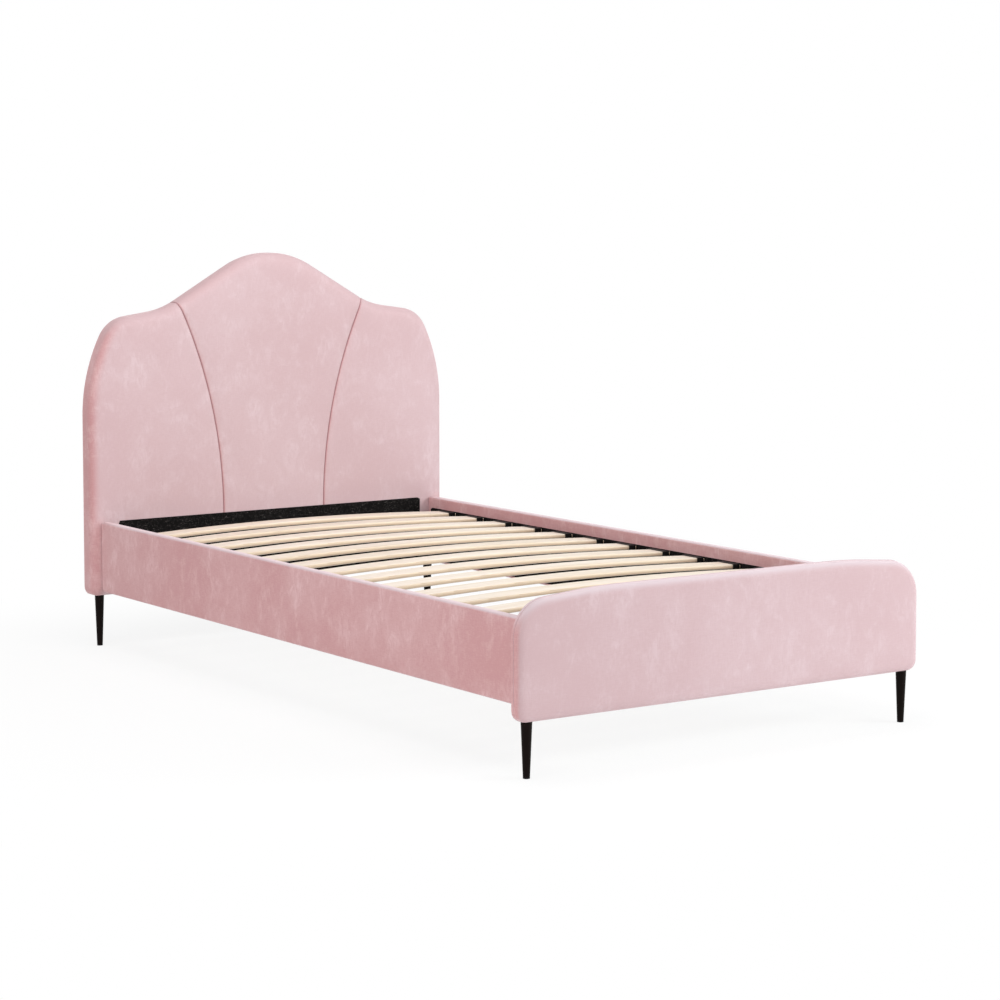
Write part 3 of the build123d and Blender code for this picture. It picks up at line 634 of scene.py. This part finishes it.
SWELL_FRAMES, LEAST_SHIFT = 20, 1e-9
SWELL_CLOTH = {
    "vertex_group_mass": "held",
    "quality": 6,
    "mass": 0.5,
    "tension_stiffness": 30,
    "compression_stiffness": 30,
    "shear_stiffness": 10,
    "bending_stiffness": 2,
    "use_pressure": True,
}


def places(mesh):
    """Points of a mesh, one in each row."""
    found = np.empty(len(mesh.vertices) * 3, np.float32)
    mesh.vertices.foreach_get("co", found)
    return found.reshape(-1, 3)


def settled(piece, held, cap, push):
    """Let the cover swell over its foam by simulation, no point further than the cap."""
    mesh = piece.data
    rest = places(mesh)
    group = piece.vertex_groups.new(name="held")
    group.add(np.flatnonzero(held).tolist(), 1.0, "REPLACE")
    cloth = piece.modifiers.new("swell", "CLOTH")
    for setting, value in SWELL_CLOTH.items():
        setattr(cloth.settings, setting, value)
    cloth.settings.uniform_pressure_force = push
    cloth.settings.effector_weights.gravity = 0
    cloth.collision_settings.use_collision = False
    cloth.point_cache.frame_start, cloth.point_cache.frame_end = 1, SWELL_FRAMES
    for number in range(1, SWELL_FRAMES + 1):
        scene.frame_set(number)
    swollen = piece.evaluated_get(bpy.context.evaluated_depsgraph_get()).data
    shift = places(swollen) - rest
    far = np.linalg.norm(shift, axis=1, keepdims=True)
    shift *= np.tanh(far / cap) * cap / np.maximum(far, LEAST_SHIFT)
    piece.modifiers.remove(cloth)
    piece.vertex_groups.remove(group)
    mesh.vertices.foreach_set("co", (rest + shift).ravel())
    mesh.update()
    scene.frame_set(1)


def uneven(piece, held, axis, amount, size):
    """Slight hollows and rises of foam under a cover."""
    for vertex, stays in zip(piece.data.vertices, held):
        if not stays:
            vertex.co[axis] += amount * noise.noise(vertex.co * size)


def dress(piece, material, slot, *nodes, body="bed_frame"):
    """Give a piece its finish and let it ride on its body in place of the solids it stands for."""
    piece.data.materials.clear()
    piece.data.materials.append(material)
    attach(piece, body)
    if nodes:
        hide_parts(*nodes)


# Headboard: three velvet panels that meet at two curved seams


# Steps along a rim
HEAD_STEP, FOOT_STEP, BEAD_STEP, RAIL_STEP, CLOTH_STEP = 0.009, 0.008, 0.006, 0.012, 0.012

# Room beside a seam on the rim, and the points of the rim in it as shares of the seam's reach
SEAM_MARGIN, SEAM_NEAR = 0.012, (*SEAM_ROWS, 1.8)

# Counts of points: round the whole outline, down a seam's curve and its straight end, along the base
FINE_COUNT, CURVE_COUNT, DROP_COUNT, BASE_COUNT = 12001, 60, 17, 30

# Height of the outline's upper part, and the upward share of the inward vector from side to base
UPPER_HALF, UPRIGHT_TO_BASE = 0.6, (0.5, 0.95)


def at_head(x, z, depth):
    """Point of the bed for a place on the headboard's face and a depth behind it."""
    return (x, HEAD_FRONT + depth, z)


def seam_line(crossing):
    """Points down the right seam from the headboard's top edge to its bottom edge."""
    top = math.asin((crossing[1] - RAIL_TOP) / SEAM_RADIUS)
    length = top * SEAM_RADIUS
    first = HEAD_ROLL[0] * (1 - np.cos(np.concatenate([[0.0], RING_TURNS])))
    rest = np.linspace(first[-1], length, CURVE_COUNT)[1:]
    turn = top - np.concatenate([first, rest]) / SEAM_RADIUS
    curve = np.stack([SEAM_X + SEAM_RADIUS * (1 - np.cos(turn)), RAIL_TOP + SEAM_RADIUS * np.sin(turn)], 1)
    heights = np.linspace(RAIL_TOP, HEADBOARD[:, 1].min(), DROP_COUNT)[1:]
    drop = np.stack([np.full_like(heights, SEAM_X), heights], 1)
    return np.vstack([curve, drop])


def headboard_panels():
    """The right, left and centre panels, cut where the seams cross the headboard's outline."""
    whole = measured(HEADBOARD)[-1]
    fine = np.linspace(0, whole, FINE_COUNT)
    path, _ = walked(HEADBOARD, fine)
    beyond = np.hypot(path[:, 0] - SEAM_X - SEAM_RADIUS, path[:, 1] - RAIL_TOP) - SEAM_RADIUS
    upper = path[:, 1] > UPPER_HALF
    k = np.flatnonzero(upper[:-1] & upper[1:] & (beyond[:-1] < 0) & (beyond[1:] >= 0))[0]
    top = fine[k] + (fine[k + 1] - fine[k]) * beyond[k] / (beyond[k] - beyond[k + 1])
    base = np.flatnonzero((path[:-1, 0] < SEAM_X) & (path[1:, 0] >= SEAM_X) & ~upper[:-1])[0]
    bottom = fine[base] - whole
    crossing = walked(HEADBOARD, [top])[0][0]
    seam = seam_line(crossing)
    near = np.array(SEAM_NEAR) * SEAM_REACH

    def stretch(start, end):
        """Distances along the outline from one seam to the next, closer together beside the seams."""
        steps = np.linspace(start, end, max(3, int((end - start) / HEAD_STEP)))
        steps = steps[(steps > start + SEAM_MARGIN) & (steps < end - SEAM_MARGIN)]
        return np.concatenate([start + near, steps, end - near[::-1]])

    def rim(parts):
        """Rim of a panel and its inward vectors, from parts of the outline and seams."""
        points, into = [], []
        for kind, value in parts:
            if kind == "edge":
                p, n = walked(HEADBOARD, value)
            else:
                p, n = value, np.zeros_like(value)
            points.append(p)
            into.append(n)
        return np.vstack(points), np.vstack(into)

    far_top = 2 * fine[path[:, 1].argmax()] - top
    mirrored_seam = seam * (-1, 1)
    base_x = np.linspace(-SEAM_X, SEAM_X, BASE_COUNT)[1:-1]
    base_line = np.stack([base_x, np.full_like(base_x, seam[-1, 1])], 1)
    side, side_into = rim([("edge", stretch(bottom, top)), ("seam", seam)])
    left, left_into = side[::-1] * (-1, 1), side_into[::-1] * (-1, 1)
    centre, centre_into = rim([
        ("seam", seam[::-1]), ("edge", stretch(top, far_top)), ("seam", mirrored_seam), ("seam", base_line),
    ])
    centre_into[-len(base_line) :] = (0.0, 1.0)
    panels = {"right": (side, side_into), "left": (left, left_into), "centre": (centre, centre_into)}
    for name, (loop, into) in panels.items():
        back_roll = HEAD_BACK_ROLL * np.interp(into[:, 1], UPRIGHT_TO_BASE, [1.0, FLAT_BASE])
        back_roll[~into.any(axis=1) & (loop[:, 1] < RAIL_TOP)] = HEAD_BACK_ROLL * FLAT_BASE
        piece, held = padded_cover(
            f"headboard_panel_{name}", HEADBOARD, loop, into, HEAD_ROLL,
            HEAD_BACK - HEAD_FRONT - BACK_GAP, back_roll, at_head, seam_distance,
        )
        settled(piece, held, cap=0.004, push=3.0)
        uneven(piece, held, axis=1, amount=0.0009, size=7.0)
        nodes = [f"headboard_cover_{name}"] + (["headboard_foam"] if name == "centre" else [])
        dress(piece, VELVET, "pink_velvet", *nodes)


headboard_panels()


# Footboard: a front cover and an inside cover that meet at a thin bead


def whole_rim(outline, step):
    """Points all round an outline about one step apart, and the inward vector at each."""
    length = measured(outline)[-1]
    return walked(outline, np.arange(0, length, length / int(length / step)))


def footboard_covers():
    """The front cover over its foam, and the thinner inside cover."""
    loop, into = whole_rim(FOOTBOARD, FOOT_STEP)
    front, held = padded_cover(
        "footboard_front_pad", FOOTBOARD, loop, into, FOOT_ROLL, BEAD_Y - FOOT_FRONT, FOOT_BACK_ROLL,
        lambda x, z, depth: (x, FOOT_FRONT + depth, z),
    )
    settled(front, held, cap=0.003, push=3.0)
    uneven(front, held, axis=1, amount=0.0007, size=8.0)
    dress(front, VELVET, "pink_velvet", "footboard_front_cover", "footboard_foam")
    inner, _ = padded_cover(
        "footboard_inside_pad", FOOTBOARD, loop, into, FOOT_INSIDE_ROLL, FOOT_BACK - BEAD_Y, FOOT_BACK_ROLL,
        lambda x, z, depth: (-x, FOOT_BACK - depth, z), spacing=0.03,
    )
    dress(inner, VELVET, "pink_velvet", "footboard_inside_cover")


footboard_covers()


# Side rails


def rail_outline():
    """Side of a rail, along and up, from the footboard to the headboard."""
    y0, y1 = FOOT_BACK + RAIL_GAP, HEAD_FRONT - RAIL_GAP
    low_round, top_round = 0.012, 0.006
    corners = [(y1, RAIL_LOW), (y1, RAIL_TOP), (y0, RAIL_TOP), (y0, RAIL_LOW)]
    return rounded_outline(corners, [low_round, top_round, top_round, low_round])


RAIL = rail_outline()


def rail_covers():
    """The cover of each side rail over its foam."""
    loop, into = whole_rim(RAIL, RAIL_STEP)
    sides = {
        "right": lambda y, z, depth: (RAIL_OUTER - depth, y, z),
        "left": lambda y, z, depth: (depth - RAIL_OUTER, -y, z),
    }
    for name, place in sides.items():
        outline, rim, normal = RAIL, loop, into
        if name == "left":
            outline, rim, normal = RAIL[::-1] * (-1, 1), loop[::-1] * (-1, 1), into[::-1] * (-1, 1)
        piece, held = padded_cover(
            f"side_rail_pad_{name}", outline, rim, normal, RAIL_ROLL,
            RAIL_OUTER - RAIL_INNER, RAIL_BACK_ROLL, place, spacing=0.02,
        )
        uneven(piece, held, axis=0, amount=0.0006, size=9.0)
        dress(piece, VELVET, "pink_velvet", f"side_rail_cover_{name}", f"side_rail_foam_{name}")


rail_covers()


# Black linings and the cloth on the headboard's back


LINING_THICKNESS, RAIL_LINING_THICKNESS, DUST_CLOTH_THICKNESS = 0.0022, 0.0016, 0.0012
HEAD_LINING_PROUD, FOOT_LINING_PROUD, RAIL_LINING_PROUD = 0.0012, 0.0006, 0.0006
LINING_CORNER, RAIL_LINING_CORNER = 0.004, 0.003
RAIL_LINING_END, RAIL_LINING_FROM_LOW, RAIL_LINING_FROM_TOP = 0.014, 0.006, 0.032
DUST_CLOTH_INSET, DUST_CLOTH_LEAST_INSET = 0.017, 0.0165
DUST_CLOTH_SLACK, SLACK_ACROSS, SLACK_UP = 0.0003, 6.1, 8.3


def thin_sheet(name, outline, thickness, place, spacing=0.03):
    """A flat sheet of cloth with softly rounded edges."""
    loop, into = whole_rim(outline, CLOTH_STEP)
    sheet, _ = padded_cover(
        name, outline, loop, into, CLOTH_ROLL, thickness, CLOTH_BACK_ROLL, place, spacing=spacing
    )
    return sheet


def box_outline(x0, x1, z0, z1, radius):
    """A rectangle with rounded corners."""
    return rounded_outline([(x1, z0), (x1, z1), (x0, z1), (x0, z0)], [radius] * 4)


def low_lining(board, low, place):
    """Black lining across the lower part of a board, between the rails."""
    outline = box_outline(-LINING_HALF, LINING_HALF, low, RAIL_TOP, LINING_CORNER)
    sheet = thin_sheet(f"{board}_low_lining", outline, LINING_THICKNESS, place)
    dress(sheet, LINING, "black_lining", f"{board}_lining")


def rail_linings():
    """Black lining on the inside of each side rail, under the velvet that comes over the top."""
    y0, y1 = FOOT_BACK + RAIL_LINING_END, HEAD_FRONT - RAIL_LINING_END
    z0, z1 = RAIL_LOW + RAIL_LINING_FROM_LOW, RAIL_TOP - RAIL_LINING_FROM_TOP
    strip = box_outline(y0, y1, z0, z1, RAIL_LINING_CORNER)
    sides = {
        "right": (strip[::-1] * (-1, 1), lambda y, z, d: (RAIL_INNER - RAIL_LINING_PROUD + d, -y, z)),
        "left": (strip, lambda y, z, d: (RAIL_LINING_PROUD - RAIL_INNER - d, y, z)),
    }
    for name, (outline, place) in sides.items():
        sheet = thin_sheet(f"side_rail_inner_lining_{name}", outline, RAIL_LINING_THICKNESS, place)
        dress(sheet, LINING, "black_lining", f"side_rail_lining_{name}")


low_lining(
    "headboard", HEAD_LINING_LOW,
    lambda x, z, depth: (x, HEAD_FRONT - HEAD_LINING_PROUD + depth, z),
)
low_lining(
    "footboard", FOOT_LINING_LOW,
    lambda x, z, depth: (-x, FOOT_BACK + FOOT_LINING_PROUD - depth, z),
)
rail_linings()


def headboard_back():
    """Dust cloth pulled over the open back, slightly slack between the frame members; returns its rim."""
    loop, into = whole_rim(HEADBOARD, CLOTH_STEP)
    rim = loop + into * DUST_CLOTH_INSET
    rim = rim[edge_distance(rim, HEADBOARD) > DUST_CLOTH_LEAST_INSET]
    sheet = thin_sheet(
        "headboard_dust_cloth", rim, DUST_CLOTH_THICKNESS,
        lambda x, z, d: (-x, HEAD_BACK - d, z), spacing=0.02,
    )
    for vertex in sheet.data.vertices:
        if vertex.co.y > HEAD_BACK - DUST_CLOTH_SLACK:
            spot = Vector((vertex.co.x * SLACK_ACROSS, 0.0, vertex.co.z * SLACK_UP))
            slack = 0.5 + 0.5 * noise.noise(spot)
            vertex.co.y -= DUST_CLOTH_SLACK * slack
    dress(sheet, DUST_CLOTH, "dust_cloth", "headboard_back_cloth")
    return rim


CLOTH_RIM = headboard_back()


# Pieces that follow a path


BEAD_SIDES = 10
STAPLE_SIZE, STAPLE_PITCH = (0.010, 0.0007, 0.0006), 0.045
STAPLE_CENTRE, STAPLE_REACH, STAPLE_DEPTH = (0.0, 0.6), 0.986, 0.0001


def path_object(name, points, closed):
    """A line of points joined in order, for a tree to follow."""
    edges = [(i, i + 1) for i in range(len(points) - 1)] + ([(len(points) - 1, 0)] if closed else [])
    return new_piece(name, points, edges, [])


def node_tree(name, inputs):
    """A geometry tree with named inputs; returns the tree and its input and output nodes."""
    tree = bpy.data.node_groups.new(name, "GeometryNodeTree")
    tree.interface.new_socket("Geometry", in_out="INPUT", socket_type="NodeSocketGeometry")
    for label, kind, default in inputs:
        socket = tree.interface.new_socket(label, in_out="INPUT", socket_type=kind)
        if default is not None:
            socket.default_value = default
    tree.interface.new_socket("Geometry", in_out="OUTPUT", socket_type="NodeSocketGeometry")
    return tree, tree.nodes.new("NodeGroupInput"), tree.nodes.new("NodeGroupOutput")


def closing(tree, geometry, given, made):
    """Every tree ends the same way: real geometry, smooth, with its material."""
    real = put(tree, "GeometryNodeRealizeInstances", {"Geometry": geometry})
    smooth = put(tree, "GeometryNodeSetShadeSmooth", {"Geometry": real.outputs[0]})
    dressed = {"Geometry": smooth.outputs[0], "Material": given.outputs["Material"]}
    tree.links.new(put(tree, "GeometryNodeSetMaterial", dressed).outputs[0], made.inputs[0])


def bead_tree():
    """A round bead along a path."""
    tree, given, made = node_tree(
        "sewn_bead",
        [
            ("Radius", FLOAT, BEAD_RADIUS),
            ("Sides", "NodeSocketInt", BEAD_SIDES),
            ("Material", "NodeSocketMaterial", None),
        ],
    )
    curve = put(tree, "GeometryNodeMeshToCurve", {"Mesh": given.outputs["Geometry"]})
    ring = put(
        tree, "GeometryNodeCurvePrimitiveCircle",
        {"Resolution": given.outputs["Sides"], "Radius": given.outputs["Radius"]},
    )
    tube = put(
        tree, "GeometryNodeCurveToMesh",
        {"Curve": curve.outputs[0], "Profile Curve": ring.outputs[0], "Fill Caps": True},
    )
    closing(tree, tube.outputs[0], given, made)
    return tree


def staple_tree():
    """Staple backs at an even pitch along a path."""
    tree, given, made = node_tree(
        "row_of_staples",
        [
            ("Spacing", FLOAT, STAPLE_PITCH),
            ("Size", "NodeSocketVector", STAPLE_SIZE),
            ("Material", "NodeSocketMaterial", None),
        ],
    )
    curve = put(tree, "GeometryNodeMeshToCurve", {"Mesh": given.outputs["Geometry"]})
    points = put(
        tree, "GeometryNodeCurveToPoints",
        {"Curve": curve.outputs[0], "Length": given.outputs["Spacing"]},
        mode="LENGTH",
    )
    wire = put(tree, "GeometryNodeMeshCube", {"Size": given.outputs["Size"]})
    turn = put(tree, "FunctionNodeAlignRotationToVector", {"Vector": points.outputs["Tangent"]}, axis="X")
    placed = put(
        tree, "GeometryNodeInstanceOnPoints",
        {"Points": points.outputs["Points"], "Instance": wire.outputs["Mesh"], "Rotation": turn.outputs[0]},
    )
    closing(tree, placed.outputs[0], given, made)
    return tree


def grown(name, path, tree, values):
    """Run a tree on a path and keep the result as a plain mesh."""
    modifier = path.modifiers.new("tree", "NODES")
    modifier.node_group = tree
    identifiers = {s.name: s.identifier for s in tree.interface.items_tree if s.in_out == "INPUT"}
    for label, value in values.items():
        modifier[identifiers[label]] = value
    shown = path.evaluated_get(bpy.context.evaluated_depsgraph_get())
    piece = bpy.data.objects.new(name, bpy.data.meshes.new_from_object(shown))
    path.modifiers.remove(modifier)
    bpy.data.objects.remove(path)
    scene.collection.objects.link(piece)
    return piece


def footboard_bead():
    """The thin bead up the sides and over the top of the footboard."""
    loop, _ = whole_rim(FOOTBOARD, BEAD_STEP)
    corner = int(np.argmax((loop[:, 0] > 0) & (loop[:, 1] > BEAD_LOW)))
    ordered = np.roll(loop, -corner, 0)
    ordered = ordered[ordered[:, 1] > BEAD_LOW]
    path = path_object("bead_path", [(x, BEAD_Y, z) for x, z in ordered], False)
    values = {"Radius": BEAD_RADIUS, "Sides": BEAD_SIDES, "Material": VELVET}
    piece = grown("footboard_edge_bead", path, bead_tree(), values)
    dress(piece, VELVET, "pink_velvet", "footboard_bead")


footboard_bead()


def back_staples():
    """Staples a little inside the dust cloth's rim."""
    centre = np.array(STAPLE_CENTRE)
    loop = centre + (CLOTH_RIM - centre) * STAPLE_REACH
    path = path_object("staple_path", [(x, HEAD_BACK - STAPLE_DEPTH, z) for x, z in loop], True)
    piece = grown("back_cloth_staples", path, staple_tree(), {"Spacing": STAPLE_PITCH, "Material": ZINC})
    dress(piece, ZINC, "zinc_steel")


back_staples()


# Finishes of the solids that show as they are


def finish_for(node):
    """Finish of a solid, by the name of its node."""
    if node.startswith(("slat_holders", "glide_")):
        return HOLDER_PLASTIC
    if node.startswith("slat_ledger"):
        return LEDGER
    if node.startswith("slat_"):
        return BIRCH
    if node in ("bracket_inserts", "leg_inserts"):
        return ZINC
    if node.startswith("leg_") or node == "corner_brackets":
        return POWDER_COAT
    if node.endswith("_bolts") or node == "ledger_screws":
        return BLACK_ZINC
    if "panel" in node or "core" in node or "board_left" in node or "board_right" in node:
        return PLYWOOD
    if "post" in node or "rail" in node or "rib" in node:
        return PINE
    return VELVET


for node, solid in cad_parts.items():
    if not solid.hide_render:
        solid.data.materials.clear()
        solid.data.materials.append(finish_for(node))


# Stage: floor, light and camera


def seen_directly(tree):
    """1 for rays from the camera, straight or through a reflection or a clear piece."""
    path = put(tree, "ShaderNodeLightPath").outputs
    mirrored = maths(tree, "MAXIMUM", path["Is Glossy Ray"], path["Is Transmission Ray"])
    return maths(tree, "MAXIMUM", path["Is Camera Ray"], mirrored)


FLOOR_REACH, FLOOR_GREY, WORLD_LIGHT = 30, 0.86, 0.42
NEAR_WHITE, SHADOW_NEAR, SHADOW_FAR = 0.84, 1.1, 2.0


def white_room():
    """A floor and a world that look white to the camera; near the bed the floor keeps a soft shadow."""
    corners = [(x * FLOOR_REACH, y * FLOOR_REACH, 0) for x, y in ((-1, -1), (1, -1), (1, 1), (-1, 1))]
    floor = new_piece("floor", corners, [], [(0, 1, 2, 3)])
    material = bpy.data.materials.new("pale_floor")
    material.use_nodes = True
    tree = material.node_tree
    tree.nodes.remove(tree.nodes["Principled BSDF"])
    output = tree.nodes["Material Output"]
    matt = put(tree, "ShaderNodeBsdfDiffuse", {"Color": (FLOOR_GREY, FLOOR_GREY, FLOOR_GREY, 1)})
    white = put(tree, "ShaderNodeEmission", {"Color": (1, 1, 1, 1), "Strength": 1.0})
    place = put(tree, "ShaderNodeTexCoord").outputs["Object"]
    away = put(tree, "ShaderNodeVectorMath", {0: place}, operation="LENGTH").outputs["Value"]
    further = between(tree, away, SHADOW_NEAR, SHADOW_FAR)
    own_white = maths(tree, "MULTIPLY_ADD", further, 1 - NEAR_WHITE, NEAR_WHITE)
    share = maths(tree, "MULTIPLY", seen_directly(tree), own_white)
    blend = put(tree, "ShaderNodeMixShader", {0: share, 1: matt.outputs[0], 2: white.outputs[0]})
    tree.links.new(blend.outputs[0], output.inputs[0])
    floor.data.materials.append(material)
    world = bpy.data.worlds.new("studio")
    world.use_nodes = True
    scene.world = world
    tree = world.node_tree
    background = tree.nodes["Background"]
    shown = {"Value": seen_directly(tree), "To Min": WORLD_LIGHT, "To Max": 1.0}
    strength = put(tree, "ShaderNodeMapRange", shown)
    background.inputs["Color"].default_value = (1, 1, 1, 1)
    tree.links.new(strength.outputs["Result"], background.inputs["Strength"])


def soft_box(name, place, target, size, power, tint=(1.0, 1.0, 1.0)):
    """A round soft light turned towards a point."""
    light = bpy.data.lights.new(name, "AREA")
    light.shape, light.size, light.energy, light.color = "DISK", size, power, tint
    lamp = bpy.data.objects.new(name, light)
    lamp.location = place
    lamp.rotation_euler = (Vector(target) - Vector(place)).to_track_quat("-Z", "Y").to_euler()
    scene.collection.objects.link(lamp)


white_room()
soft_box("key_light", (6.4, -9.2, 6.2), (0.0, 0.2, 0.4), size=6.0, power=370.0)
soft_box("top_light", (-0.4, -0.3, 4.6), (0.0, 0.0, 0.3), size=4.0, power=125.0)
soft_box("right_light", (3.4, -3.4, 1.6), (0.0, 0.0, 0.5), size=1.6, power=95.0, tint=(0.9, 1.03, 1.04))
soft_box("left_light", (-5.0, -2.2, 2.2), (0.0, 0.0, 0.4), size=3.0, power=74.0, tint=(1.0, 0.95, 0.95))

CAMERA_DIP, CAMERA_TURN = 0.0806, -0.6040
camera = bpy.data.objects.new("camera", bpy.data.cameras.new("camera"))
camera.data.sensor_width = 36.0
camera.data.lens = 98.745
camera.data.shift_y = -0.1
camera.location = (-3.9784, -5.9096, 1.3149)
camera.rotation_euler = (math.pi / 2 - CAMERA_DIP, 0.0, CAMERA_TURN)
scene.collection.objects.link(camera)
scene.camera = camera
scene.view_settings.view_transform = "Standard"
